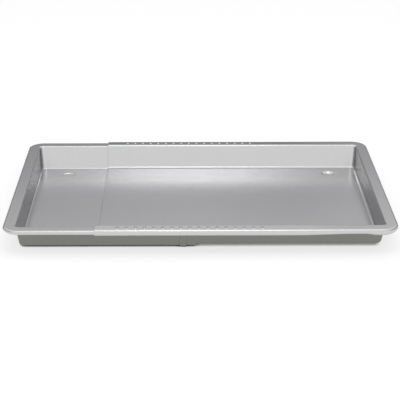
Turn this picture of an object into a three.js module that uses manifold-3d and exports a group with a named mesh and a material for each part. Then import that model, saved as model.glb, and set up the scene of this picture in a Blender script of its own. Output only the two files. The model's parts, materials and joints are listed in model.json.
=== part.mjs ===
// Adjustable baking tray: two open-ended sheet steel trays that nest and slide along X.
// The lower tray is closed on the left, the upper tray on the right.
// Millimetres, +Z up, +X along the slide, -Y to the front, origin under the middle.
import * as THREE from "three";
import { mergeVertices } from "three/addons/utils/BufferGeometryUtils.js";
import { ConvexGeometry } from "three/addons/geometries/ConvexGeometry.js";
import Module from "manifold-3d";

const wasm = await Module();
wasm.setup();

// Overall sizes
const overallLength = 439.8;
const overallDepth = 330;
const lowerLength = 214.9;
const upperLength = 337.4;
const trayDepth = 27.6;
const sheet = 0.7;

// Clearances, and small overlaps that join or cut one form with another
const slideGap = 0.5;
const floorGap = 0.8;
const wireGap = 0.3;
const embed = 0.1;
const overrun = 1;

// Rims from the outer edge to the wall, and how far each wall leans in towards the floor
const sideRimWidth = 16;
const sideWallRun = 12.7;
const endRimWidth = 14.3;
const endWallRun = 2.2;

// Bends, at the middle of the sheet
const lowerFloorBend = 2;
const upperFloorBend = 2.8;
const rimBend = 1.8;
const floorCorner = 7;
const rimCorner = 5;

// Rolled rims: outer radii, and how far the sheet wraps
const lowerRollRadius = 2.4;
const pinchRadius = 2.7;
const closedTurn = THREE.MathUtils.degToRad(300);
const channelTurn = THREE.MathUtils.degToRad(240);

// The upper rim narrows near its closed end; distances are from that end
const pinchStart = 115;
const pinchFull = 46;
const pinchLeave = 38;
const upperWireStart = 45;
const lowerWireInset = 2;

// Stiffening bead across the lower tray near its free end
const beadFromFreeEnd = 14.6;
const beadHalfWidth = 4.6;
const beadBelowRim = 4;
const beadFade = 4;

// Feet pressed down out of the floor
const footDrop = 1.2;
const footRadius = 8.6;
const footFlatRadius = 6.2;
const footFromEnd = 53;
const footFromSide = 53;

// Length marks on the upper rim, and the nib on the lower rim that they ride over
const markCount = 17;
const markPitch = 10;
const firstMark = 25.5;
const markWidth = 3;
const markLength = 6.5;
const markRidge = 3.9;
const markHeight = 1.3;
const markFromSide = 7.3;
const nibFromFreeEnd = 7;
const nibRadius = 1.1;
const nibTopRadius = 0.6;
const nibHeight = 0.35;

// Facets
const bendSteps = 4;
const cornerSteps = 8;
const rollQuarterSteps = 4;
const rollTailSteps = 7;
const wireSides = 10;
const pinchSteps = 4;
const lathedSides = 24;

// Sheet positions that follow from the sizes above; levels are at the middle of the sheet
const halfSheet = sheet / 2;
const nestStep = sheet + slideGap;
const cornerInset = endRimWidth + endWallRun + floorCorner + overrun;
const upperRollRadius = lowerRollRadius + nestStep;
const upperHalfDepth = overallDepth / 2;
const lowerHalfDepth = upperHalfDepth - nestStep;
const footFromMiddle = upperHalfDepth - footFromSide;
const markFromMiddle = upperHalfDepth - markFromSide;
const lowerFloorLevel = footDrop + halfSheet;
const lowerRimLevel = footDrop + trayDepth - halfSheet;
const upperFloorLevel = lowerFloorLevel + sheet + floorGap;
const upperRimLevel = lowerRimLevel + nestStep;

const sideWallAngle = Math.atan2(lowerRimLevel - lowerFloorLevel, sideWallRun);
const lowerRimOut = upperHalfDepth - sideRimWidth + halfSheet * Math.tan(sideWallAngle / 2);
const lowerFloorOut = lowerRimOut - sideWallRun;
const upperRimOut = lowerRimOut - nestStep * Math.tan(sideWallAngle / 2);
const upperFloorOut = lowerFloorOut - nestStep / Math.sin(sideWallAngle)
  + (upperFloorLevel - lowerFloorLevel) / Math.tan(sideWallAngle);

const lowerTray = {
  length: lowerLength,
  halfDepth: lowerHalfDepth,
  floorLevel: lowerFloorLevel,
  rimLevel: lowerRimLevel,
  sideFloorOut: lowerFloorOut,
  sideRimOut: lowerRimOut,
  floorBend: lowerFloorBend,
  rimBend: rimBend,
  rollAt: () => ({ radius: lowerRollRadius, turn: closedTurn }),
  straights: [0],
};

const upperTray = {
  length: upperLength,
  halfDepth: upperHalfDepth,
  floorLevel: upperFloorLevel,
  rimLevel: upperRimLevel,
  sideFloorOut: upperFloorOut,
  sideRimOut: upperRimOut,
  floorBend: upperFloorBend,
  rimBend: rimBend + nestStep,
  rollAt: upperRollAt,
  straights: [0, ...stepsBetween(pinchStart, pinchFull), ...stepsBetween(pinchLeave, cornerInset)],
};

// Distances from the free end where the upper rim changes its section
function stepsBetween(from, to) {
  const places = [];
  for (let step = 0; step <= pinchSteps; step += 1) {
    places.push(upperLength - THREE.MathUtils.lerp(from, to, step / pinchSteps));
  }
  return places;
}

// Open sliding channel, then a closed roll that is pinched before the corner
function upperRollAt(x) {
  const fromEnd = upperLength - x;
  const closing = 1 - THREE.MathUtils.smoothstep(fromEnd, pinchFull, pinchStart);
  const reopening = 1 - THREE.MathUtils.smoothstep(fromEnd, cornerInset, pinchLeave);
  return {
    radius: THREE.MathUtils.lerp(upperRollRadius, pinchRadius, closing - reopening),
    turn: THREE.MathUtils.lerp(channelTurn, closedTurn, closing),
  };
}

// The roll starts with a quarter turn that ends at its outermost point, then wraps on under
function rollTurns(whole) {
  const quarter = Math.PI / 2;
  const turns = [];
  for (let step = 0; step < rollQuarterSteps; step += 1) {
    turns.push(quarter * step / rollQuarterSteps);
  }
  for (let step = 0; step <= rollTailSteps; step += 1) {
    turns.push(THREE.MathUtils.lerp(quarter, whole, step / rollTailSteps));
  }
  return turns;
}

// One section of the sheet from the flat floor out to the rolled edge, as two skins
function sheetSection(tray, floorOut, rimOut, edgeOut, roll) {
  const wallAngle = Math.atan2(tray.rimLevel - tray.floorLevel, rimOut - floorOut);
  const middles = [];
  const floorCentre = floorOut - tray.floorBend * Math.tan(wallAngle / 2);
  const rimCentre = rimOut + tray.rimBend * Math.tan(wallAngle / 2);
  for (let step = 0; step <= bendSteps; step += 1) {
    const turn = wallAngle * step / bendSteps;
    middles.push({
      out: floorCentre + tray.floorBend * Math.sin(turn),
      z: tray.floorLevel + tray.floorBend * (1 - Math.cos(turn)),
      normalOut: -Math.sin(turn),
      normalUp: Math.cos(turn),
    });
  }
  for (let step = bendSteps; step >= 0; step -= 1) {
    const turn = wallAngle * step / bendSteps;
    middles.push({
      out: rimCentre - tray.rimBend * Math.sin(turn),
      z: tray.rimLevel - tray.rimBend * (1 - Math.cos(turn)),
      normalOut: -Math.sin(turn),
      normalUp: Math.cos(turn),
    });
  }
  const middleRadius = roll.radius - halfSheet;
  for (const turn of rollTurns(roll.turn)) {
    middles.push({
      out: edgeOut - roll.radius + middleRadius * Math.sin(turn),
      z: tray.rimLevel - middleRadius * (1 - Math.cos(turn)),
      normalOut: Math.sin(turn),
      normalUp: Math.cos(turn),
    });
  }
  const skin = (offset) => middles.map((middle) => ({
    out: middle.out + offset * middle.normalOut,
    z: middle.z + offset * middle.normalUp,
  }));
  return { top: skin(halfSheet), bottom: skin(-halfSheet) };
}

// The places along a tray's outline where sections stand: front side, corner, corner, rear side
function outlineColumns(tray, places) {
  const front = places.map((x) => ({ x, turn: 0, side: -1 }));
  for (let step = 0; step <= cornerSteps; step += 1) {
    front.push({ x: null, turn: Math.PI / 2 * step / cornerSteps, side: -1 });
  }
  const rear = front.map((column) => ({ ...column, side: 1 })).reverse();
  return [...front, ...rear];
}

// A point of a section, carried round the outline with its own corner radius
function outlinePoint(tray, column, side, end) {
  const wallShare = (z) => THREE.MathUtils.clamp(
    (z - tray.floorLevel) / (tray.rimLevel - tray.floorLevel), 0, 1);
  const cornerAt = (point, floorOut, rimOut) => {
    const share = wallShare(point.z);
    const wallOut = THREE.MathUtils.lerp(floorOut, rimOut, share);
    return THREE.MathUtils.lerp(floorCorner, rimCorner, share) + point.out - wallOut;
  };
  const sideCorner = cornerAt(side, tray.sideFloorOut, tray.sideRimOut);
  const endCorner = cornerAt(end, endFloorOut(tray), endRimOut(tray));
  const x = column.x ?? end.out - endCorner + endCorner * Math.sin(column.turn);
  const y = side.out - sideCorner + sideCorner * Math.cos(column.turn);
  const endShare = Math.sin(column.turn) ** 2;
  return new THREE.Vector3(x, column.side * y, THREE.MathUtils.lerp(side.z, end.z, endShare));
}

function endRimOut(tray) {
  return tray.length - endRimWidth;
}

function endFloorOut(tray) {
  return endRimOut(tray) - endWallRun;
}

// Both trays are made with the free end at x = 0 and the closed end at x = length
function trayShell(tray) {
  const columns = outlineColumns(tray, tray.straights);
  const points = [];
  const faces = [];
  const rings = columns.map((column) => {
    const roll = tray.rollAt(column.x ?? tray.length);
    const side = sheetSection(tray, tray.sideFloorOut, tray.sideRimOut, tray.halfDepth, roll);
    const end = sheetSection(tray, endFloorOut(tray), endRimOut(tray), tray.length, roll);
    const ring = {};
    for (const skin of ["top", "bottom"]) {
      ring[skin] = side[skin].map((point, index) => {
        points.push(outlinePoint(tray, column, point, end[skin][index]));
        return points.length - 1;
      });
    }
    return ring;
  });
  const quad = (a, b, c, d) => faces.push([a, b, c], [a, c, d]);
  const last = rings[0].top.length - 1;
  for (let index = 0; index + 1 < rings.length; index += 1) {
    const here = rings[index];
    const next = rings[index + 1];
    for (let step = 0; step < last; step += 1) {
      quad(here.top[step], here.top[step + 1], next.top[step + 1], next.top[step]);
      quad(here.bottom[step], next.bottom[step], next.bottom[step + 1], here.bottom[step + 1]);
    }
    quad(here.top[last], here.bottom[last], next.bottom[last], next.top[last]);
  }
  const first = rings[0];
  const final = rings[rings.length - 1];
  for (let step = 0; step < last; step += 1) {
    quad(first.top[step], first.bottom[step], first.bottom[step + 1], first.top[step + 1]);
    quad(final.top[step], final.top[step + 1], final.bottom[step + 1], final.bottom[step]);
  }
  quad(first.top[0], final.top[0], final.bottom[0], first.bottom[0]);
  for (let index = 0; index + 1 < rings.length / 2; index += 1) {
    const front = rings[index];
    const frontNext = rings[index + 1];
    const rear = rings[rings.length - 1 - index];
    const rearNext = rings[rings.length - 2 - index];
    quad(front.top[0], frontNext.top[0], rearNext.top[0], rear.top[0]);
    quad(front.bottom[0], rear.bottom[0], rearNext.bottom[0], frontNext.bottom[0]);
  }
  return solidFrom(points, faces);
}

// A closed section carried through a row of rings, with flat caps
function loftedSolid(rings) {
  const count = rings[0].length;
  const points = rings.flat();
  const faces = [];
  for (let ring = 0; ring + 1 < rings.length; ring += 1) {
    for (let index = 0; index < count; index += 1) {
      const next = (index + 1) % count;
      const a = ring * count + index;
      const b = ring * count + next;
      faces.push([a, b + count, b], [a, a + count, b + count]);
    }
  }
  const lastRing = (rings.length - 1) * count;
  for (let index = 1; index + 1 < count; index += 1) {
    faces.push([0, index, index + 1]);
    faces.push([lastRing, lastRing + index + 1, lastRing + index]);
  }
  return solidFrom(points, faces);
}

// The wire that a closed roll is bent round, on the roll's own centre line
function rimWire(tray, radius, legStart) {
  const places = [legStart, ...tray.straights.filter((x) => x > legStart)];
  const rings = outlineColumns(tray, places).map((column) => {
    const roll = tray.rollAt(column.x ?? tray.length);
    const ring = [];
    for (let index = 0; index < wireSides; index += 1) {
      const angle = 2 * Math.PI * index / wireSides;
      const inset = roll.radius - radius * Math.cos(angle);
      const z = tray.rimLevel + halfSheet - roll.radius + radius * Math.sin(angle);
      const side = { out: tray.halfDepth - inset, z };
      const end = { out: tray.length - inset, z };
      ring.push(outlinePoint(tray, column, side, end));
    }
    return ring;
  });
  return loftedSolid(rings);
}

function solidFrom(points, faces) {
  const geometry = new THREE.BufferGeometry();
  const numbers = new Float32Array(points.flatMap((point) => [point.x, point.y, point.z]));
  geometry.setAttribute("position", new THREE.BufferAttribute(numbers, 3));
  geometry.setIndex(faces.flat());
  return solidOf(geometry);
}

function solidOf(geometry) {
  geometry.deleteAttribute("normal");
  geometry.deleteAttribute("uv");
  const merged = mergeVertices(geometry);
  return new wasm.Manifold(new wasm.Mesh({
    numProp: 3,
    vertProperties: new Float32Array(merged.attributes.position.array),
    triVerts: new Uint32Array(merged.index.array),
  }));
}

function geometryOf(solid) {
  const mesh = solid.getMesh();
  const geometry = new THREE.BufferGeometry();
  geometry.setAttribute("position", new THREE.BufferAttribute(new Float32Array(mesh.vertProperties), 3));
  geometry.setIndex([...mesh.triVerts]);
  geometry.computeVertexNormals();
  return geometry;
}

// Foot: the outer form is added under the floor, then the hollow is taken from above
function footForms(tray) {
  const floorTop = tray.floorLevel + halfSheet;
  const lathed = (profile) => {
    const outline = profile.map(([radius, z]) => new THREE.Vector2(radius, z));
    const form = new THREE.LatheGeometry(outline, lathedSides);
    form.rotateX(Math.PI / 2);
    return form;
  };
  const bossRadius = footRadius + halfSheet;
  const outer = lathed([
    [0, 0],
    [footFlatRadius, 0],
    [bossRadius, tray.floorLevel - halfSheet / 2],
    [0, tray.floorLevel],
  ]);
  const slope = (footRadius - footFlatRadius + halfSheet) / (floorTop - sheet);
  const hollow = lathed([
    [0, sheet],
    [footFlatRadius - halfSheet, sheet],
    [footRadius + overrun * slope, floorTop + overrun],
    [0, floorTop + overrun],
  ]);
  return { outer, hollow };
}

function withFeet(solid, tray) {
  let result = solid;
  for (const y of [-footFromMiddle, footFromMiddle]) {
    const { outer, hollow } = footForms(tray);
    const x = tray.length - footFromEnd;
    result = result.add(solidOf(outer.translate(x, y, 0)));
    result = result.subtract(solidOf(hollow.translate(x, y, 0)));
  }
  return result;
}

// The bead follows the outside of the lower tray from wall to wall
function beadRoute() {
  const section = sheetSection(lowerTray, lowerFloorOut, lowerRimOut, lowerHalfDepth, lowerTray.rollAt());
  const wallStart = section.bottom[bendSteps];
  const wallEnd = section.bottom[bendSteps + 1];
  const wallLength = Math.hypot(wallEnd.out - wallStart.out, wallEnd.z - wallStart.z);
  const along = (length) => {
    const share = length / wallLength;
    return {
      out: THREE.MathUtils.lerp(wallStart.out, wallEnd.out, share),
      z: THREE.MathUtils.lerp(wallStart.z, wallEnd.z, share),
      turn: sideWallAngle,
    };
  };
  const half = [];
  for (let step = 0; step <= bendSteps; step += 1) {
    half.push({ ...section.bottom[step], turn: sideWallAngle * step / bendSteps, height: footDrop });
  }
  half.push({ ...along(wallLength - beadBelowRim - beadFade), height: footDrop });
  half.push({ ...along(wallLength - beadBelowRim), height: 0 });
  const mirrored = half.map((place) => ({ ...place, out: -place.out, turn: -place.turn })).reverse();
  return [...mirrored, ...half];
}

const beadOutlineShares = [
  { across: -1, height: 0 },
  { across: -0.87, height: 0.25 },
  { across: -0.72, height: 0.8 },
  { across: -0.56, height: 1 },
  { across: 0.56, height: 1 },
  { across: 0.72, height: 0.8 },
  { across: 0.87, height: 0.25 },
  { across: 1, height: 0 },
];

// The bead's skin lies at the given depth below its outer face; its back is at backDepth
function beadForm(skinDepth, backDepth) {
  const rings = beadRoute().map((place) => {
    const at = (across, lift) => new THREE.Vector3(
      beadFromFreeEnd + across,
      place.out + lift * Math.sin(place.turn),
      place.z - lift * Math.cos(place.turn),
    );
    const face = beadOutlineShares.map((share) => at(
      share.across * beadHalfWidth, share.height * place.height - skinDepth));
    return [...face, at(beadHalfWidth, -backDepth), at(-beadHalfWidth, -backDepth)];
  });
  return loftedSolid(rings);
}

// A small hipped ridge: a rectangle that rises to a line along Y
function hippedForm(width, length, ridge, backLevel, baseLevel, topLevel) {
  const points = [];
  for (const side of [-1, 1]) {
    for (const end of [-1, 1]) {
      points.push(new THREE.Vector3(side * width / 2, end * length / 2, backLevel));
      points.push(new THREE.Vector3(side * width / 2, end * length / 2, baseLevel));
    }
    points.push(new THREE.Vector3(0, side * ridge / 2, topLevel));
  }
  return new ConvexGeometry(points);
}

// Length marks: hollow ridges pressed up out of the upper rim, front and rear
function withMarks(solid) {
  const rimTop = upperTray.rimLevel + halfSheet;
  const rimUnder = upperTray.rimLevel - halfSheet;
  let result = solid;
  for (let mark = 0; mark < markCount; mark += 1) {
    for (const side of [-1, 1]) {
      const x = firstMark + mark * markPitch;
      const y = side * markFromMiddle;
      const outer = hippedForm(markWidth, markLength, markRidge,
        upperTray.rimLevel, rimTop - embed, rimTop + markHeight);
      const hollow = hippedForm(markWidth - sheet, markLength - sheet, markRidge,
        rimUnder - slideGap / 2, rimUnder + embed, rimUnder + markHeight);
      result = result.add(solidOf(outer.translate(x, y, 0)));
      result = result.subtract(solidOf(hollow.translate(x, y, 0)));
    }
  }
  return result;
}

// Nib: a low stud on each side of the lower rim
function withNibs(solid) {
  const rimTop = lowerRimLevel + halfSheet;
  let result = solid;
  for (const side of [-1, 1]) {
    const outline = [
      new THREE.Vector2(0, lowerRimLevel),
      new THREE.Vector2(nibRadius, lowerRimLevel),
      new THREE.Vector2(nibRadius, rimTop + embed),
      new THREE.Vector2(nibTopRadius, rimTop + nibHeight),
      new THREE.Vector2(0, rimTop + nibHeight),
    ];
    const nib = new THREE.LatheGeometry(outline, wireSides);
    nib.rotateX(Math.PI / 2);
    nib.translate(nibFromFreeEnd, side * markFromMiddle, 0);
    result = result.add(solidOf(nib));
  }
  return result;
}

function lowerTrayBody() {
  const beaded = trayShell(lowerTray)
    .add(beadForm(embed, halfSheet))
    .subtract(beadForm(sheet + embed, sheet + overrun));
  return withNibs(withFeet(beaded, lowerTray));
}

function upperTrayBody() {
  return withMarks(withFeet(trayShell(upperTray), upperTray));
}

const lowerWireRadius = lowerRollRadius - sheet - wireGap;
const upperWireRadius = pinchRadius - sheet - wireGap;

const steel = new THREE.MeshStandardMaterial({ color: 0xa9a9ae, metalness: 0.9, roughness: 0.38 });
const wireSteel = new THREE.MeshStandardMaterial({ color: 0x8b8b8d, metalness: 0.9, roughness: 0.45 });

function namedMesh(name, solid, material) {
  const mesh = new THREE.Mesh(geometryOf(solid), material);
  mesh.name = name;
  return mesh;
}

// The lower tray faces the other way, so it is turned half round about Z
const lowerGroup = new THREE.Group();
lowerGroup.rotation.z = Math.PI;
lowerGroup.position.x = lowerLength - overallLength / 2;
lowerGroup.add(
  namedMesh("lower_tray", lowerTrayBody(), steel),
  namedMesh("lower_rim_wire", rimWire(lowerTray, lowerWireRadius, lowerWireInset), wireSteel),
);

const upperGroup = new THREE.Group();
upperGroup.position.x = overallLength / 2 - upperLength;
upperGroup.add(
  namedMesh("upper_tray", upperTrayBody(), steel),
  namedMesh("upper_rim_wire", rimWire(upperTray, upperWireRadius, upperLength - upperWireStart), wireSteel),
);

const tray = new THREE.Group();
tray.add(lowerGroup, upperGroup);

export default tray;
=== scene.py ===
# %% [markdown]
# # An adjustable baking tray
# Two pressed steel trays nest and slide. The lower one is closed on the left, the upper one on the
# right, and the upper tray's long rims are rolled round the lower tray's rims. This lesson loads the
# packed solid model as a fixed frame and builds the fine sheet metal around it, at the same size.

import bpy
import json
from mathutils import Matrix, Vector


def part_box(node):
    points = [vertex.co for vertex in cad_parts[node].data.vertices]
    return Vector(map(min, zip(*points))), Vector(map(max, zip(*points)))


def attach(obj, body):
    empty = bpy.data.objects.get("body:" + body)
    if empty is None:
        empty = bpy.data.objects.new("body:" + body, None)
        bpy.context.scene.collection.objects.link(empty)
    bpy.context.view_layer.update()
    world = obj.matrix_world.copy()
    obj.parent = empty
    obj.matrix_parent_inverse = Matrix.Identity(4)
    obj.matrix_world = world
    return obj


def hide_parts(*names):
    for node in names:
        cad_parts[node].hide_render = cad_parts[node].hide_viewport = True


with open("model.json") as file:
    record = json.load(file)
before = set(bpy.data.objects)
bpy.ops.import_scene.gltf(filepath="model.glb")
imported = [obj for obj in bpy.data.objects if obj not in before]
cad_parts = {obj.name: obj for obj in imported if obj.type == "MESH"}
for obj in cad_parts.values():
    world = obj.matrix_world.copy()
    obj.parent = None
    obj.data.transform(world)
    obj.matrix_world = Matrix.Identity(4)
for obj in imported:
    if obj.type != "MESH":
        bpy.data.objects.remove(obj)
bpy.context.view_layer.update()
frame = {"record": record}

# %% [markdown]
# ## The camera
# Set the camera first, because everything that follows is judged through it. It could be placed by
# eye, but the length marks are ten millimetres apart, so a pinhole camera was fitted to them and to
# the rims: it stands about 1.6 m in front of the tray, a little under 0.6 m above the table, and looks
# 19.6 degrees down through a long lens, with hardly any turn to the side and a trace of roll.

# %% Camera
import math

import bpy
from mathutils import Matrix, Quaternion, Vector

scene = bpy.context.scene
camera_place = Vector((-0.0185, -1.6121, 0.5797))
camera_down = math.radians(19.56)
camera_right = math.radians(0.69)
camera_roll = math.radians(0.12)
focal_pixels = 1411.6
frame_pixels = 400
sensor_width = 36

camera_data = bpy.data.cameras.new("camera")
camera_data.sensor_width = sensor_width
camera_data.lens = focal_pixels / frame_pixels * sensor_width
camera = bpy.data.objects.new("camera", camera_data)
looking = Vector((
    math.sin(camera_right) * math.cos(camera_down),
    math.cos(camera_right) * math.cos(camera_down),
    -math.sin(camera_down),
))
camera.location = camera_place
rolled = Quaternion((0, 0, 1), camera_roll)
camera.rotation_euler = (looking.to_track_quat("-Z", "Y") @ rolled).to_euler()
scene.collection.objects.link(camera)
scene.camera = camera
print(f"lens {camera_data.lens:.1f} mm on a {sensor_width} mm sensor")

# %% [markdown]
# ## Sizes of the sheet metal
# Such trays are stamped from sheet about 0.7 mm thick, so one surface at the middle of the sheet
# describes each of them. Lengths, depth and levels are read from the frame, so that the fine pieces fill
# the same space. What the boxes can't say, such as bends and roll radii, is named here in real sizes. The
# upper tray's channel rim slopes down a little about a pivot line, and its shoulder is tighter than the
# roll below it.

# %% Sizes
MM = 0.001
sheet = 0.7 * MM
half_sheet = sheet / 2
slide_gap = 0.5 * MM
rim_gap = 0.75 * MM
floor_gap = 0.8 * MM
nest_step = sheet + slide_gap

side_rim_width = 16 * MM
side_wall_run = 12.7 * MM
end_rim_width = 14.3 * MM
end_wall_run = 2.2 * MM

lower_floor_bend = 2 * MM
upper_floor_bend = 3.3 * MM
lower_rim_bend = 1.8 * MM
upper_rim_bend = 2.4 * MM
floor_corner = 7 * MM
rim_corner = 5 * MM

lower_roll_radius = 2.4 * MM
upper_roll_radius = lower_roll_radius + nest_step
pinch_radius = 2.7 * MM
channel_shoulder = 2.6 * MM
channel_droop = math.radians(1.6)
channel_pivot = 7 * MM
closed_turn = math.radians(300)
channel_turn = math.radians(240)
pinch_start = 115 * MM
pinch_full = 46 * MM
pinch_leave = 38 * MM
corner_spare = 1 * MM
corner_inset = end_rim_width + end_wall_run + floor_corner + corner_spare

foot_drop = 1.2 * MM
mark_height = 1.05 * MM

lower_low, lower_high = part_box("lower_tray")
upper_low, upper_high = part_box("upper_tray")
half_depth = upper_high.y
upper_rim_level = upper_high.z - mark_height - half_sheet
lower_rim_level = upper_rim_level - sheet - rim_gap
lower_floor_level = foot_drop + half_sheet
upper_floor_level = lower_floor_level + sheet + floor_gap
side_wall_angle = math.atan2(lower_rim_level - lower_floor_level, side_wall_run)
print(f"rim {(upper_rim_level + half_sheet) / MM:.1f} mm high, walls "
      f"{90 - math.degrees(side_wall_angle):.1f} degrees off the upright")

# %% [markdown]
# ## Two trays, described alike
# Both trays are the same kind of thing, so each is one small record of its sizes, measured from its free
# end at 0 to its closed end at `length`. The upper tray lies in the lower one. Its floor and walls keep
# a small gap to the lower tray's sheet, and its rims reach over the lower rims and round their rolls.

# %% A record for a tray
from dataclasses import dataclass
from typing import Callable


@dataclass
class Tray:
    """One pressed tray: length and half_depth are outside sizes, the rest is at the sheet's middle."""

    length: float
    half_depth: float
    floor_level: float
    rim_level: float
    side_floor_out: float
    side_rim_out: float
    floor_bend: float
    rim_bend: float
    shoulder: float
    roll_at: Callable

    @property
    def end_rim_out(self):
        return self.length - end_rim_width

    @property
    def end_floor_out(self):
        return self.end_rim_out - end_wall_run


print("a tray is described by", ", ".join(Tray.__dataclass_fields__))

# %% [markdown]
# ## How the rims are rolled
# The lower tray's rim is rolled nearly shut round its wire everywhere. The upper tray's long rims stay
# open along the slide, as channels that hook under the lower rims, and close to a pinched roll past the
# lower tray's reach. Two separate rims could be joined there, but a roll whose radius and turn change
# smoothly along the rim is what the pressing tool makes. An S-shaped step gives the smooth change.

# %% Rolls
lower_length = lower_high.x - lower_low.x
upper_length = upper_high.x - upper_low.x


def smooth_step(low, high, value):
    """0 below low, 1 above high and an even S between them."""
    share = min(max((value - low) / (high - low), 0), 1)
    return share * share * (3 - 2 * share)


def mix(a, b, share):
    return a + (b - a) * share


def lower_roll(along):
    """Radius of the roll, how far it turns and how far the flat rim droops towards it."""
    return lower_roll_radius, closed_turn, 0


def upper_roll(along):
    """An open channel that closes to a pinched roll, then widens again before the corner."""
    from_end = upper_length - along
    closing = 1 - smooth_step(pinch_full, pinch_start, from_end)
    reopening = 1 - smooth_step(corner_inset, pinch_leave, from_end)
    radius = mix(upper_roll_radius, pinch_radius, closing - reopening)
    return radius, mix(channel_turn, closed_turn, closing), channel_droop * (1 - closing)


print(f"lower tray {lower_length / MM:.1f} mm, upper tray {upper_length / MM:.1f} mm long")

# %% [markdown]
# ## The sizes of both trays
# The upper tray's sizes could be measured like the lower tray's, but they are worked out from them and
# from the gaps, so that a changed gap or wall moves both trays together.

# %% The two trays
lower_rim_out = half_depth - side_rim_width + half_sheet * math.tan(side_wall_angle / 2)
lower_floor_out = lower_rim_out - side_wall_run
floor_rise = upper_floor_level - lower_floor_level
lower_tray = Tray(
    length=lower_length,
    half_depth=half_depth - nest_step,
    floor_level=lower_floor_level,
    rim_level=lower_rim_level,
    side_floor_out=lower_floor_out,
    side_rim_out=lower_rim_out,
    floor_bend=lower_floor_bend,
    rim_bend=lower_rim_bend,
    shoulder=lower_roll_radius,
    roll_at=lower_roll,
)
upper_tray = Tray(
    length=upper_length,
    half_depth=half_depth,
    floor_level=upper_floor_level,
    rim_level=upper_rim_level,
    side_floor_out=lower_floor_out - nest_step / math.sin(side_wall_angle)
    + floor_rise / math.tan(side_wall_angle),
    side_rim_out=lower_rim_out - nest_step * math.tan(side_wall_angle / 2),
    floor_bend=upper_floor_bend,
    rim_bend=upper_rim_bend,
    shoulder=channel_shoulder,
    roll_at=upper_roll,
)
for tray in (lower_tray, upper_tray):
    print(f"floor at {tray.floor_level / MM:.2f} mm, rim at {tray.rim_level / MM:.2f} mm")

# %% [markdown]
# ## Bends and rolls as rows of points
# A cut through the side shows a flat floor, a bend, a wall, a second bend, a flat rim and a roll. It
# could be drawn as a curve by hand, but arcs and straight runs from the sizes above give exact tangents.
# Each point also keeps the sheet's own normal, because beads and marks are pressed along that normal.

# %% Bends and rolls
quarter_turn = math.pi / 2
bend_steps = 8
roll_quarter_steps = 8
roll_tail_steps = 14


@dataclass
class Row:
    """A point of the section: its place, the sheet's normal there and the part it belongs to.

    Only rows of the wall use wall_left, the length of wall that is left above them."""

    out: float
    z: float
    normal_out: float
    normal_up: float
    part: str
    wall_left: float = 0


def bend_rows(centre_out, level, radius, wall_angle, rising, part):
    """The floor bend (rising = 1) or the rim bend (rising = -1), from its low end to its high end."""
    rows = []
    for step in range(bend_steps + 1):
        share = step / bend_steps if rising > 0 else 1 - step / bend_steps
        turn = wall_angle * share
        rows.append(Row(
            centre_out + rising * radius * math.sin(turn),
            level + rising * radius * (1 - math.cos(turn)),
            -math.sin(turn),
            math.cos(turn),
            part,
        ))
    return rows


def roll_turns(whole):
    """The roll reaches its outermost point after a quarter turn, then wraps on under the rim."""
    turns = [quarter_turn * step / roll_quarter_steps for step in range(roll_quarter_steps)]
    tail = [mix(quarter_turn, whole, step / roll_tail_steps) for step in range(roll_tail_steps + 1)]
    return turns + tail


print(f"a closed roll has {len(roll_turns(closed_turn))} points, a bend {bend_steps + 1}")

# %% [markdown]
# ## One whole section
# The same section serves the sides and the end of both trays, and only its places and radii differ. The
# rows of the wall stand closer together near the rim, where the bead fades out.

# %% Whole section
floor_border = 0.8 * MM
wall_row_shares = (0.15, 0.35, 0.55, 0.7, 0.76, 0.82, 0.88, 0.95)


def section(tray, floor_out, rim_out, edge_out, roll, rim_shares):
    """Rows from the floor to the inside of the roll; rim_shares place the rows of the flat rim."""
    radius, whole_turn, droop = roll
    rim_level = tray.rim_level + channel_pivot * math.tan(droop)
    wall_angle = math.atan2(rim_level - tray.floor_level, rim_out - floor_out)
    floor_centre = floor_out - tray.floor_bend * math.tan(wall_angle / 2)
    rim_centre = rim_out + tray.rim_bend * math.tan(wall_angle / 2)
    rows = [Row(floor_centre - floor_border, tray.floor_level, 0, 1, "floor")]
    rows += bend_rows(floor_centre, tray.floor_level, tray.floor_bend, wall_angle, 1, "floor bend")
    top = bend_rows(rim_centre, rim_level, tray.rim_bend, wall_angle, -1, "rim bend")
    bottom = rows[-1]
    wall_length = math.hypot(top[0].out - bottom.out, top[0].z - bottom.z)
    for share in wall_row_shares:
        rows.append(Row(
            mix(bottom.out, top[0].out, share),
            mix(bottom.z, top[0].z, share),
            bottom.normal_out,
            bottom.normal_up,
            "wall",
            wall_length * (1 - share),
        ))
    rows += top
    shoulder = min(tray.shoulder, radius)
    bend_end = len(rows)
    for share in rim_shares:
        rows.append(Row(mix(rim_centre, edge_out - shoulder, share), rim_level, 0, 1, "flat"))
    for turn in roll_turns(whole_turn):
        arc = (shoulder if turn < quarter_turn else radius) - half_sheet
        rows.append(Row(
            edge_out - half_sheet - arc * (1 - math.sin(turn)),
            rim_level - arc * (1 - math.cos(turn)),
            math.sin(turn),
            math.cos(turn),
            "roll",
        ))
    # The flat rim and its roll slope down together from the end of the rim bend.
    for row in rows[bend_end:]:
        row.z -= (row.out - rim_centre) * math.tan(droop)
    return rows


sample = section(lower_tray, lower_tray.side_floor_out, lower_tray.side_rim_out,
                 lower_tray.half_depth, lower_roll(0), ())
print(f"a plain section has {len(sample)} points, from {sample[0].out / MM:.1f} mm "
      f"to {max(row.out for row in sample) / MM:.1f} mm out")

# %% [markdown]
# ## The sheared edge
# What is pressed into the sheet could be modelled by hand. Here each form is a short height formula that
# moves the sheet along its normal, so both faces of the sheet show it, as on a real pressing. The first
# form is the free end of the upper tray: the shears that cut it turn its edge down a little, and that
# thin rounding catches the light.

# %% Sheared edge
sheared_radius = 1.2 * MM
sheared_turns = tuple(math.radians(turn) for turn in (38, 20, 10, 0))


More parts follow.
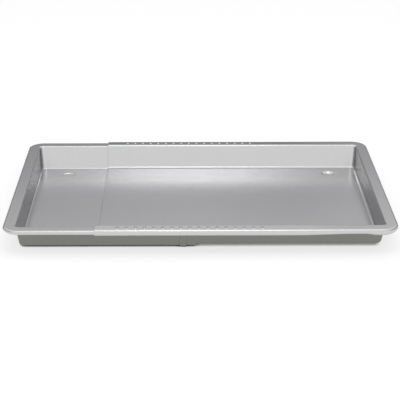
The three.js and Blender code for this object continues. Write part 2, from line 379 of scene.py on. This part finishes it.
def sheared_places():
    """Columns over the turned-down free end, from the cut edge inwards."""
    return [sheared_radius * (math.sin(sheared_turns[0]) - math.sin(turn)) for turn in sheared_turns]


def sheared_press(along):
    """How far the sheet is turned down near the cut edge, along an arc of a circle."""
    sine = max(math.sin(sheared_turns[0]) - along / sheared_radius, 0)
    return -sheared_radius * (1 - math.sqrt(1 - sine * sine))


print(f"the cut edge lies {-sheared_press(0) / MM:.2f} mm low")

# %% [markdown]
# ## Length marks
# The long rims of the upper tray carry seventeen marks, small hipped ridges one centimetre apart. They
# could be small boxes laid on the rim, but on the real tray they are pressed up out of it, so they are
# heights too. The grid gets rows and columns close to each mark's ridge and foot, and few elsewhere.

# %% Length marks
mark_count = 17
mark_pitch = 10 * MM
first_mark = 25.5 * MM
mark_width = 3 * MM
mark_length = 6.5 * MM
mark_slope = mark_height / (mark_width / 2)
mark_from_middle = half_depth - 7.3 * MM
# Columns and rows of the grid near a mark, in millimetres from its middle.
mark_columns = (-1.9, -1.5, -1.15, -0.8, -0.45, -0.15, 0.15, 0.45, 0.8, 1.15, 1.5, 1.9)
mark_rows = (-3.6, -3.25, -2.9, -2.5, -2.1, -1.7, 0, 1.7, 2.1, 2.5, 2.9, 3.25, 3.6)


def mark_press(along, row):
    """The hipped roof of the nearest length mark, and beside the marks the turned-down cut edge."""
    if row.part != "flat" or along < mark_width:
        return sheared_press(along)
    number = min(max(round((along - first_mark) / mark_pitch), 0), mark_count - 1)
    sideways = abs(along - first_mark - number * mark_pitch)
    endways = abs(row.out - mark_from_middle)
    room = min(mark_width / 2 - sideways, mark_length / 2 - endways)
    return min(max(room * mark_slope, 0), mark_height)


print(f"{2 * mark_count} marks, each {mark_width / MM:.0f} by {mark_length / MM:.1f} mm")

# %% [markdown]
# ## Bead and nib
# The lower tray has a flat-topped bead across its floor and up its walls near its free end, which keeps
# the thin edge stiff. A low nib on each rim lies under the marks and stands for the detent. Both could
# be separate pieces, but they too are heights of the one sheet.

# %% Bead and nib
bead_from_free_end = 14.6 * MM
bead_half_width = 4.6 * MM
bead_top_half_width = 2.6 * MM
bead_height = foot_drop
bead_below_rim = 4 * MM
bead_fade = 5 * MM
# Columns and rows of the grid near the bead and the nib, in millimetres from their middles.
bead_side = (2.1, 2.6, 3, 3.3, 3.6, 3.9, 4.2, 4.6, 5.2)
bead_across = (*(-across for across in reversed(bead_side)), 0, *bead_side)

nib_from_free_end = 7 * MM
nib_radius = 1.1 * MM
nib_top_radius = nib_radius / 3
nib_height = 0.35 * MM
nib_across = (-1.4, -1.1, -0.7, -0.35, 0, 0.35, 0.7, 1.1, 1.4)


def lower_press(along, row):
    """The bead sinks along the sheet's normal; the nib rises from the flat rim."""
    if row.part == "flat":
        distance = math.hypot(along - nib_from_free_end, row.out - mark_from_middle)
        return nib_height * (1 - smooth_step(nib_top_radius, nib_radius, distance))
    if row.part in ("rim bend", "roll"):
        return 0
    across = abs(along - bead_from_free_end)
    profile = 1 - smooth_step(bead_top_half_width, bead_half_width, across)
    fade = 1
    if row.part == "wall":
        fade = smooth_step(bead_below_rim, bead_below_rim + bead_fade, row.wall_left)
    return -bead_height * profile * fade


print(f"bead {2 * bead_half_width / MM:.1f} mm wide and {bead_height / MM:.1f} mm deep")

# %% [markdown]
# ## Columns of the grid
# A tray is a grid of rows, which run round it, and columns, each of which is one section. An even grid
# would need many thousands of columns to show the small marks, so columns stand close together only
# where the cut edge, a mark, the bead or the pinched stretch of the rim needs them.

# %% Columns
pinch_steps = 10
first_strip = 1 * MM


def evenly(start, stop, steps):
    return [mix(start, stop, step / steps) for step in range(steps + 1)]


def upper_places():
    places = sheared_places()
    for number in range(mark_count):
        middle = first_mark + number * mark_pitch
        places += [middle + across * MM for across in mark_columns]
    places += evenly(upper_length - pinch_start, upper_length - pinch_full, pinch_steps)
    places += evenly(upper_length - pinch_leave, upper_length - corner_inset, pinch_steps)
    return sorted(places)


def lower_places():
    places = [0, first_strip]
    places += [bead_from_free_end + across * MM for across in bead_across]
    places += [nib_from_free_end + across * MM for across in nib_across]
    places.append(lower_length - corner_inset)
    return sorted(places)


def flat_shares(tray, offsets):
    """Rows across the flat rim, as shares of its width, that follow the pressed forms on it."""
    wall_angle = math.atan2(tray.rim_level - tray.floor_level, tray.side_rim_out - tray.side_floor_out)
    start = tray.side_rim_out + tray.rim_bend * math.tan(wall_angle / 2)
    stop = tray.half_depth - tray.shoulder
    places = [mark_from_middle + offset * MM for offset in offsets]
    return [(place - start) / (stop - start) for place in places if start < place < stop]


print(f"{len(upper_places())} columns along each side of the upper tray")

# %% [markdown]
# ## Round the corners
# The section runs along the front side, round two corners and back along the rear. A sweep along a curve
# would keep one corner radius for every row, but on a pressed tray the floor corner is wide and the top
# corner is tight, so each row is carried round with a radius of its own.

# %% Corners
corner_steps = 20


def corner_radius(tray, row, floor_out, rim_out):
    """The corner radius of a row follows its height on the wall and its distance from the wall."""
    share = (row.z - tray.floor_level) / (tray.rim_level - tray.floor_level)
    share = min(max(share, 0), 1)
    return mix(floor_corner, rim_corner, share) + row.out - mix(floor_out, rim_out, share)


def corner_point(tray, turn, side_row, end_row):
    """A row's point at a turn of 0 (still on the side) to 90 degrees (already on the end)."""
    side_radius = corner_radius(tray, side_row, tray.side_floor_out, tray.side_rim_out)
    end_radius = corner_radius(tray, end_row, tray.end_floor_out, tray.end_rim_out)
    return Vector((
        end_row.out - end_radius + end_radius * math.sin(turn),
        side_row.out - side_radius + side_radius * math.cos(turn),
        mix(side_row.z, end_row.z, math.sin(turn) ** 2),
    ))


print(f"corners of {floor_corner / MM:.0f} mm at the floor and {rim_corner / MM:.0f} mm at the rim")

# %% [markdown]
# ## Feet
# Four round feet are pressed down out of the floors, and with the bead they carry the tray. A boolean
# cut would leave a hard edge, so the floor gets round holes, and each hole is filled with rings that
# follow the drawn profile of a real foot: a soft shoulder, a slope and a flat bottom. The upper tray's
# feet are deeper, so their slope runs further.

# %% Feet
foot_middle_radius = 7.3 * MM
foot_slope_run = 1.3
foot_hole_radius = 9.6 * MM
foot_sides = 48
foot_ring_steps = 14


def foot_rings(bm, centre, floor_level):
    """Rings of vertices from the hole's edge to the middle; returns the outermost ring."""
    depth = floor_level - half_sheet
    outer_radius = foot_middle_radius + depth * foot_slope_run / 2
    flat_radius = foot_middle_radius - depth * foot_slope_run / 2
    rings = []
    for radius in [foot_hole_radius, *evenly(outer_radius, flat_radius, foot_ring_steps)]:
        drop = depth * (1 - smooth_step(flat_radius, outer_radius, radius))
        ring = []
        for side in range(foot_sides):
            angle = 2 * math.pi * side / foot_sides
            offset = Vector((radius * math.cos(angle), radius * math.sin(angle), floor_level - drop))
            ring.append(bm.verts.new(centre + offset))
        rings.append(ring)
    for outer, inner in zip(rings, rings[1:]):
        for side in range(foot_sides):
            following = (side + 1) % foot_sides
            bm.faces.new((outer[side], outer[following], inner[following], inner[side]))
    bm.faces.new(rings[-1])
    return rings[0]


def foot_places(prefix):
    """The record's mounts say where the feet stand."""
    mounts = frame["record"]["mounts"]
    return [Vector(mount["pos_m"]) for mount in mounts if mount["name"].startswith(prefix)]


for place in foot_places("lower"):
    print("foot of the lower tray at", [round(value, 4) for value in place])

# %% [markdown]
# ## The points of a tray
# Each column is a section with its pressed forms moved out, and the columns follow one another from the
# front side round both corners to the rear side. The rear half mirrors the front half.

# %% Grid
import bmesh


def tray_grid(bm, tray, places, shares, press):
    """Rows of vertices for each column: front side, front corner, rear corner, rear side."""
    front = []
    for along in places:
        rows = section(tray, tray.side_floor_out, tray.side_rim_out, tray.half_depth,
                       tray.roll_at(along), shares)
        moved = []
        for row in rows:
            height = press(along, row)
            out = row.out + height * row.normal_out
            moved.append(Vector((along, out, row.z + height * row.normal_up)))
        front.append(moved)
    roll = tray.roll_at(tray.length)
    side_rows = section(tray, tray.side_floor_out, tray.side_rim_out, tray.half_depth, roll, shares)
    end_rows = section(tray, tray.end_floor_out, tray.end_rim_out, tray.length, roll, shares)
    for turn in evenly(0, quarter_turn, corner_steps):
        front.append([corner_point(tray, turn, side, end) for side, end in zip(side_rows, end_rows)])
    columns = []
    for sign, half in ((-1, front), (1, list(reversed(front)))):
        for points in half:
            columns.append([bm.verts.new((point.x, sign * point.y, point.z)) for point in points])
    return columns


print(f"{len(lower_places()) + corner_steps + 1} columns in each half of the lower tray")

# %% [markdown]
# ## The floor of a tray
# The grid leaves the floor open. Near the free end its two long inner edges are bridged by strips from
# front to rear, which follow the bead. The rest is flat and holds the feet, so it is filled as one flat
# outline with round holes.

# %% Floor of a tray


def fill_floor(bm, tray, columns, strip_count, feet):
    """Bridges the first strips of the floor from front to rear, then fills the rest round the feet."""
    last = len(columns) - 1
    for index in range(strip_count):
        bm.faces.new((columns[index][0], columns[index + 1][0],
                      columns[last - index - 1][0], columns[last - index][0]))
    border = [column[0] for column in columns[strip_count:last + 1 - strip_count]]
    loops = [border] + [foot_rings(bm, foot, tray.floor_level) for foot in feet]
    edges = []
    for loop in loops:
        for here, there in zip(loop, loop[1:] + loop[:1]):
            edges.append(bm.edges.get((here, there)) or bm.edges.new((here, there)))
    bmesh.ops.triangle_fill(bm, use_beauty=True, use_dissolve=False, edges=edges, normal=(0, 0, 1))


print("feet on each tray:", len(foot_places("lower")), "and", len(foot_places("upper")))

# %% [markdown]
# ## From a surface to sheet metal
# A second surface for the other face could be built the same way, but the Solidify modifier does it and
# closes the cut edge too. The inside, the outside and the cut edge get a material slot each. A small
# Bevel breaks the cut edges, as deburring does, and Weighted Normal keeps the flat faces flat.

# %% Sheet metal
edge_break = 0.3 * MM
edge_break_steps = 3
sharp_angle = math.radians(60)
outside_slot = 1
cut_slot = 2


def make_sheet(piece):
    """Turns a piece's middle surface into sheet metal with broken edges."""
    thick = piece.modifiers.new("sheet thickness", "SOLIDIFY")
    thick.thickness = sheet
    thick.offset = 0
    thick.use_even_offset = True
    thick.material_offset = outside_slot
    thick.material_offset_rim = cut_slot
    broken = piece.modifiers.new("deburred edge", "BEVEL")
    broken.width = edge_break
    broken.segments = edge_break_steps
    broken.limit_method = "ANGLE"
    broken.angle_limit = sharp_angle
    broken.material = cut_slot
    piece.modifiers.new("even shading", "WEIGHTED_NORMAL")


print(f"sheet {sheet / MM:.1f} mm thick, edges broken by {edge_break / MM:.1f} mm")

# %% [markdown]
# ## Both trays
# One function builds either tray in its own coordinates, free end first, and then moves it to its place.
# The lower tray is turned half round, because its closed end is on the left.

# %% Build the trays


def build_tray(name, tray, places, offsets, press, feet, to_world, bridged):
    """A tray's sheet; the floor is bridged as far as the place `bridged` and filled beyond it."""
    bm = bmesh.new()
    columns = tray_grid(bm, tray, places, flat_shares(tray, offsets), press)
    for column, following in zip(columns, columns[1:]):
        for row in range(len(column) - 1):
            bm.faces.new((column[row], column[row + 1], following[row + 1], following[row]))
    local_feet = [to_world.inverted() @ foot for foot in feet]
    strip_count = len([place for place in places if place < bridged])
    fill_floor(bm, tray, columns, strip_count, [Vector((foot.x, foot.y, 0)) for foot in local_feet])
    bmesh.ops.recalc_face_normals(bm, faces=bm.faces)
    bmesh.ops.transform(bm, matrix=to_world, verts=bm.verts)
    mesh = bpy.data.meshes.new(name)
    bm.to_mesh(mesh)
    bm.free()
    mesh.shade_smooth()
    piece = bpy.data.objects.new(name, mesh)
    scene.collection.objects.link(piece)
    make_sheet(piece)
    print(f"{name}: {len(mesh.vertices)} points, {len(mesh.polygons)} faces before the thickness")
    return piece


lower_to_world = Matrix.Translation((lower_high.x, 0, 0)) @ Matrix.Rotation(math.pi, 4, "Z")
upper_to_world = Matrix.Translation((upper_low.x, 0, 0))
lower_sheet = build_tray(
    "lower_tray_sheet", lower_tray, lower_places(), nib_across, lower_press,
    foot_places("lower"), lower_to_world, bead_from_free_end + bead_across[-1] * MM,
)
upper_sheet = build_tray(
    "upper_tray_sheet", upper_tray, upper_places(), mark_rows, mark_press,
    foot_places("upper"), upper_to_world, upper_length - pinch_start,
)

# %% [markdown]
# ## Rim wires
# A steel wire lies inside each closed roll and makes the thin rim stiff. Only a sliver of it shows from
# below, where the roll doesn't quite close. A curve with a round bevel is the natural way to make wire.

# %% Rim wires
wire_gap = 0.3 * MM
lower_wire_inset = 2 * MM
upper_wire_start = 45 * MM
wire_sides = 6


def rim_wire(name, tray, radius, places, to_world):
    """A poly curve on the roll's own centre line, round both corners of the closed end."""
    half = []
    for along in places:
        roll_radius = tray.roll_at(along)[0]
        level = tray.rim_level + half_sheet - roll_radius
        half.append(Vector((along, tray.half_depth - roll_radius, level)))
    roll_radius = tray.roll_at(tray.length)[0]
    level = tray.rim_level + half_sheet - roll_radius
    side = Row(tray.half_depth - roll_radius, level, 0, 1, "roll")
    end = Row(tray.length - roll_radius, level, 0, 1, "roll")
    half += [corner_point(tray, turn, side, end) for turn in evenly(0, quarter_turn, corner_steps)]
    points = [Vector((point.x, -point.y, point.z)) for point in half] + list(reversed(half))
    curve = bpy.data.curves.new(name, "CURVE")
    curve.dimensions = "3D"
    curve.bevel_depth = radius
    curve.bevel_resolution = wire_sides
    curve.use_fill_caps = True
    spline = curve.splines.new("POLY")
    spline.points.add(len(points) - 1)
    for place, point in zip(spline.points, points):
        place.co = (*(to_world @ point), 1)
    piece = bpy.data.objects.new(name, curve)
    scene.collection.objects.link(piece)
    print(f"{name}: {len(points)} points, {2 * radius / MM:.1f} mm wire")
    return piece


lower_wire_places = [lower_wire_inset, lower_length - corner_inset]
upper_wire_places = [
    upper_length - upper_wire_start,
    *evenly(upper_length - pinch_leave, upper_length - corner_inset, pinch_steps),
]
lower_wire = rim_wire("lower_tray_wire", lower_tray, lower_roll_radius - sheet - wire_gap,
                      lower_wire_places, lower_to_world)
upper_wire = rim_wire("upper_tray_wire", upper_tray, pinch_radius - sheet - wire_gap,
                      upper_wire_places, upper_to_world)

# %% [markdown]
# ## Writing shader maths as Python
# Node trees are easier to read as sums than as boxes and wires. One small class stands for a socket and
# turns the usual operators into Math nodes, also where the number comes first.

# %% Sockets in a sum


class Value:
    """An output socket that can be used in a sum."""

    def __init__(self, recipe, socket):
        self.recipe = recipe
        self.socket = socket

    def _math(self, operation, first, second):
        return self.recipe.node("ShaderNodeMath", {"operation": operation}, {0: first, 1: second})

    def __add__(self, other):
        return self._math("ADD", self, other)

    def __radd__(self, other):
        return self._math("ADD", other, self)

    def __sub__(self, other):
        return self._math("SUBTRACT", self, other)

    def __rsub__(self, other):
        return self._math("SUBTRACT", other, self)

    def __mul__(self, other):
        return self._math("MULTIPLY", self, other)

    def __rmul__(self, other):
        return self._math("MULTIPLY", other, self)


print("sockets understand", [name for name in vars(Value) if name.startswith("__r")])

# %% [markdown]
# ## Node trees as recipes
# Every other node comes from one method, which takes the node's type, its settings and the values or
# links of its sockets. Settings are set first, because some of them change which sockets a node has.

# %% Recipes


class Recipe:
    """A node tree that is written from the surface's needs backwards."""

    def __init__(self, tree):
        tree.nodes.clear()
        self.tree = tree

    def node(self, kind, settings=None, sockets=None, output=0):
        """Adds a node, sets it up, feeds its sockets and returns one of its outputs."""
        made = self.tree.nodes.new(kind)
        for name, value in (settings or {}).items():
            if name == "stops":
                self._set_stops(made.color_ramp, value)
            else:
                setattr(made, name, value)
        for key, value in (sockets or {}).items():
            if isinstance(value, Value):
                self.tree.links.new(value.socket, made.inputs[key])
            else:
                made.inputs[key].default_value = value
        return Value(self, made.outputs[output]) if len(made.outputs) else made

    @staticmethod
    def _set_stops(ramp, stops):
        while len(ramp.elements) < len(stops):
            ramp.elements.new(1)
        for element, (position, colour) in zip(ramp.elements, stops):
            element.position = position
            element.color = colour


def new_material(name):
    material = bpy.data.materials.new(name)
    material.use_nodes = True
    return material, Recipe(material.node_tree)


print("materials so far:", len(bpy.data.materials))

# %% [markdown]
# ## The satin finish
# Inside, the sheet carries a silver bakeware coating: metallic, satin, with a fine grain that sparkles
# close up and faint streaks along the slide from the rolling of the strip. The outer face has a thinner,
# darker olive grey coat. A plain metal with one roughness looks like plastic wrap, so grain and streaks
# move the roughness and the normal a little, and a broad cloud keeps large areas from being even.

# %% Satin coating
edge_tint = 0.7
grain_scale = 2600
grain_detail = 2
grain_depth = 0.05 * MM
flake_scale = grain_scale / 2
flake_in_roughness = 0.04
cloud_scale = 9
cloud_detail = 3
cloud_in_tone = 0.04
cloud_in_roughness = 0.02
streak_stretch = (6, 420, 6)
streak_detail = 2
streak_in_roughness = 0.01
streak_in_height = 0.05
noise_middle = 0.5


def noise(recipe, place, scale, detail):
    """A noise texture that swings about zero."""
    return recipe.node("ShaderNodeTexNoise", sockets={
        "Vector": place, "Scale": scale, "Detail": detail,
    }) - noise_middle


def satin_coat(name, colour, roughness, grain, sparkle):
    """A coated sheet: base colour as a triple, grain and sparkle as small strengths."""
    material, recipe = new_material(name)
    place = recipe.node("ShaderNodeTexCoord", output="Object")
    fine = noise(recipe, place, grain_scale, grain_detail)
    flakes = recipe.node("ShaderNodeTexVoronoi", {"feature": "F1"},
                         {"Vector": place, "Scale": flake_scale}, "Color")
    flake = recipe.node("ShaderNodeSeparateColor", sockets={"Color": flakes}, output="Red")
    flake = flake - noise_middle
    cloud = noise(recipe, place, cloud_scale, cloud_detail)
    stretched = recipe.node("ShaderNodeVectorMath", {"operation": "MULTIPLY"},
                            {0: place, 1: streak_stretch})
    streak = noise(recipe, stretched, 1, streak_detail)
    shade = 1 + sparkle * flake + cloud_in_tone * cloud
    tone = recipe.node("ShaderNodeVectorMath", {"operation": "SCALE"}, {0: colour, "Scale": shade})
    rough = roughness + cloud_in_roughness * cloud + streak_in_roughness * streak
    rough = rough + flake_in_roughness * flake
    bump = recipe.node("ShaderNodeBump", sockets={
        "Height": fine + streak_in_height * streak, "Strength": grain, "Distance": grain_depth,
    })
    surface = recipe.node("ShaderNodeBsdfPrincipled", sockets={
        "Base Color": tone, "Metallic": 1, "Roughness": rough, "Normal": bump,
        "Specular Tint": (edge_tint, edge_tint, edge_tint, 1),
    })
    recipe.node("ShaderNodeOutputMaterial", sockets={"Surface": surface})
    return material


print(f"grain of about {1 / grain_scale / MM:.1f} mm")

# %% [markdown]
# ## Four finishes
# The inside is silver, the outside olive grey, and the cut edge and the wire are bare steel. They differ
# only in tone, roughness and strength of grain, so one function makes all four. The first three are
# appended in the order of the sheet's material slots.

# %% Coats
inside_coat = satin_coat(
    "silver_inside_coat", colour=(0.6, 0.6, 0.605), roughness=0.25, grain=0.03, sparkle=0.05)
outside_coat = satin_coat(
    "olive_outside_coat", colour=(0.26, 0.26, 0.246), roughness=0.32, grain=0.1, sparkle=0.06)
cut_edge = satin_coat(
    "cut_sheet_edge", colour=(0.45, 0.45, 0.45), roughness=0.4, grain=0.1, sparkle=0)
drawn_wire = satin_coat(
    "drawn_wire", colour=(0.5, 0.5, 0.51), roughness=0.3, grain=0.15, sparkle=0)
for piece in (lower_sheet, upper_sheet):
    for material in (inside_coat, outside_coat, cut_edge):
        piece.data.materials.append(material)
for piece in (lower_wire, upper_wire):
    piece.data.materials.append(drawn_wire)
print("coats:", [material.name for material in (inside_coat, outside_coat, cut_edge, drawn_wire)])

# %% [markdown]
# ## Riding on the solid model
# Every fine piece stands for a solid of the frame and moves with that solid's body, so the trays slide
# in the poses as they do in the motion model.

# %% Ride and replace
for piece, body, node, slot in (
    (lower_sheet, "lower", "lower_tray", "tray_steel"),
    (lower_wire, "lower", "lower_rim_wire", "wire_steel"),
    (upper_sheet, "upper", "upper_tray", "tray_steel"),
    (upper_wire, "upper", "upper_rim_wire", "wire_steel"),
):
    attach(piece, body)
    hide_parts(node)
    print(f"{piece.name} rides on {body}")

# %% [markdown]
# ## Helpers for the studio
# The floor and the cards round the tray are flat planes. They belong to the stage and not to the object.
# A background may glow only for rays that show it, or it would light the tray as well, so one helper
# tells these rays apart.

# %% Studio helpers


def grey(level):
    return level, level, level, 1


white = grey(1)


def seen_by_eye(recipe):
    """1 for rays that show a background: straight from the camera, mirrored or through glass."""
    total = 0
    for kind in ("Is Camera Ray", "Is Glossy Ray", "Is Transmission Ray"):
        total = recipe.node("ShaderNodeLightPath", output=kind) + total
    return recipe.node("ShaderNodeMath", {"operation": "MINIMUM"}, {0: total, 1: 1.0})


def plane(name, width, height, material):
    """A flat card of the given size, centred on its own origin, facing +Z."""
    mesh = bpy.data.meshes.new(name)
    x = width / 2
    y = height / 2
    mesh.from_pydata([(-x, -y, 0), (x, -y, 0), (x, y, 0), (-x, y, 0)], [], [(0, 1, 2, 3)])
    mesh.materials.append(material)
    card = bpy.data.objects.new(name, mesh)
    scene.collection.objects.link(card)
    return card


print("white is", white)

# %% [markdown]
# ## The floor
# The tray stands on a pale floor that keeps its shadow and fades to white around it. More light would
# whiten the floor too, but it would bleach the tray, so the floor glows by itself, and only for rays that
# show a background. Where the tray all but touches the floor, hardly any light gets in. An Ambient
# Occlusion node that looks a few millimetres far finds these places and takes the glow away there.

# %% Floor
floor_size = 12
floor_grey = grey(0.8)
floor_glow = 1.4
floor_glow_share = 0.5
contact_distance = 6 * MM
contact_dark = 0.12
contact_light = 0.44
contact_samples = 8

floor_material, recipe = new_material("pale_floor")
lit = recipe.node("ShaderNodeBsdfDiffuse", sockets={"Color": floor_grey})
openness = recipe.node("ShaderNodeAmbientOcclusion", {"samples": contact_samples},
                       {"Distance": contact_distance}, "AO")
unshaded = recipe.node("ShaderNodeMapRange", sockets={
    "Value": openness, "From Min": contact_dark, "From Max": contact_light,
})
glow = recipe.node("ShaderNodeEmission", sockets={"Color": unshaded, "Strength": floor_glow})
mixed = recipe.node("ShaderNodeMixShader", sockets={
    0: seen_by_eye(recipe) * floor_glow_share, 1: lit, 2: glow,
})
recipe.node("ShaderNodeOutputMaterial", sockets={"Surface": mixed})
plane("floor", floor_size, floor_size, floor_material)
print("floor", floor_size, "m square")

# %% [markdown]
# ## Cards to mirror
# Metal looks like what stands around it, so a product studio sets up cards for it to mirror. A picture
# of a studio could be mirrored as well, but here two colour ramps on each card are enough: one runs up
# the card, the other across it.

# %% Card helpers
card_glow = 1.2


def card_material(name, rising, across):
    """A self-lit card whose tone runs up its height and across its width."""
    material, recipe = new_material(name)
    place = recipe.node("ShaderNodeTexCoord", output="Generated")
    x = recipe.node("ShaderNodeSeparateXYZ", sockets={0: place}, output="X")
    y = recipe.node("ShaderNodeSeparateXYZ", sockets={0: place}, output="Y")
    upward = recipe.node("ShaderNodeValToRGB", {"stops": rising}, {"Fac": y})
    sideways = recipe.node("ShaderNodeValToRGB", {"stops": across}, {"Fac": x})
    tone = recipe.node("ShaderNodeVectorMath", {"operation": "MULTIPLY"}, {0: upward, 1: sideways})
    light = recipe.node("ShaderNodeEmission", sockets={"Color": tone, "Strength": card_glow})
    recipe.node("ShaderNodeOutputMaterial", sockets={"Surface": light})
    return material


def standing_card(name, width, height, place, facing, material):
    """A card that stands on the floor and that the camera itself doesn't see."""
    card = plane(name, width, height, material)
    card.rotation_euler = (quarter_turn, 0, facing)
    card.location = (place[0], place[1], height / 2)
    card.visible_camera = False
    return card


print("cards glow at", card_glow)

# %% [markdown]
# ## Three cards
# One wide card stands behind the tray and one at each side, out of the camera's sight. The rear card
# grows lighter with height, so that surfaces that lean towards the camera mirror more light than flat
# ones. Across its width it is lighter in the middle and at the right, and so is the tray's floor that
# mirrors it. The side cards are an even grey that keeps the end walls dark.

# %% Cards
card_distance = 2.4
card_width = 6
card_height = 1.2
rear_stops = (
    (0.0, (0.2, 0.2, 0.21, 1)),
    (0.55, (0.26, 0.26, 0.273, 1)),
    (0.7, (0.45, 0.45, 0.47, 1)),
    (0.82, (0.74, 0.74, 0.75, 1)),
    (1.0, (1, 1, 1, 1)),
)
across_stops = (
    (0, grey(0.79)),
    (0.43, grey(0.79)),
    (0.5, grey(0.89)),
    (0.555, grey(0.76)),
    (0.6, white),
    (1, white),
)
side_card_width = 3
side_card_height = 0.9
side_card_out = 1.8
side_card_back = 0.2
side_grey = (0.3, 0.3, 0.305, 1)
side_stops = ((0, side_grey), (1, side_grey))
even_stops = ((0, grey(0.833)), (1, grey(0.833)))

standing_card("rear_card", card_width, card_height, (0, card_distance), 0,
              card_material("rear_card", rear_stops, across_stops))
side_material = card_material("side_card", side_stops, even_stops)
for name, side in (("left_card", -1), ("right_card", 1)):
    standing_card(name, side_card_width, side_card_height,
                  (side * side_card_out, side_card_back), quarter_turn, side_material)
print(f"cards stand {card_distance} m behind the tray and {side_card_out} m beside it")

# %% [markdown]
# ## Lamps
# Two soft lamps hang above. The wide one lights everything evenly. The small one in front draws the
# bright band on the tray's floor and the thin bright lines along its bends and rims. A point lamp would
# make these lines hard and thin, so both are area lamps.

# %% Lamps
overhead_watts = 1.4
front_watts = 1.4


def softbox(name, place, width, depth, watts):
    """A rectangular area lamp that points at the tray."""
    lamp_data = bpy.data.lights.new(name, "AREA")
    lamp_data.shape = "RECTANGLE"
    lamp_data.size = width
    lamp_data.size_y = depth
    lamp_data.energy = watts
    lamp = bpy.data.objects.new(name, lamp_data)
    lamp.location = place
    lamp.rotation_euler = (-Vector(place)).to_track_quat("-Z", "Y").to_euler()
    scene.collection.objects.link(lamp)
    print(f"{name}: {watts} W")


softbox("overhead_softbox", place=(0, 0.3, 1.38), width=1.2, depth=1.0, watts=overhead_watts)
softbox("front_softbox", place=(0, -0.5, 1.35), width=0.35, depth=0.3, watts=front_watts)

# %% [markdown]
# ## The room
# The rest is a plain white room. It shows white and is mirrored white, and it lights the tray a little
# less than that, so that nothing pale clips.

# %% Room
room_light = 0.75

world = bpy.data.worlds.new("studio")
world.use_nodes = True
scene.world = world
recipe = Recipe(world.node_tree)
strength = room_light + (1 - room_light) * seen_by_eye(recipe)
background = recipe.node("ShaderNodeBackground", sockets={"Color": white, "Strength": strength})
recipe.node("ShaderNodeOutputWorld", sockets={"Surface": background})
scene.view_settings.view_transform = "Standard"
print("room light", room_light)

# %% [markdown]
# ## Finish
# The fine pieces are built to keep within the solid model's box.

# %% Finish
import json
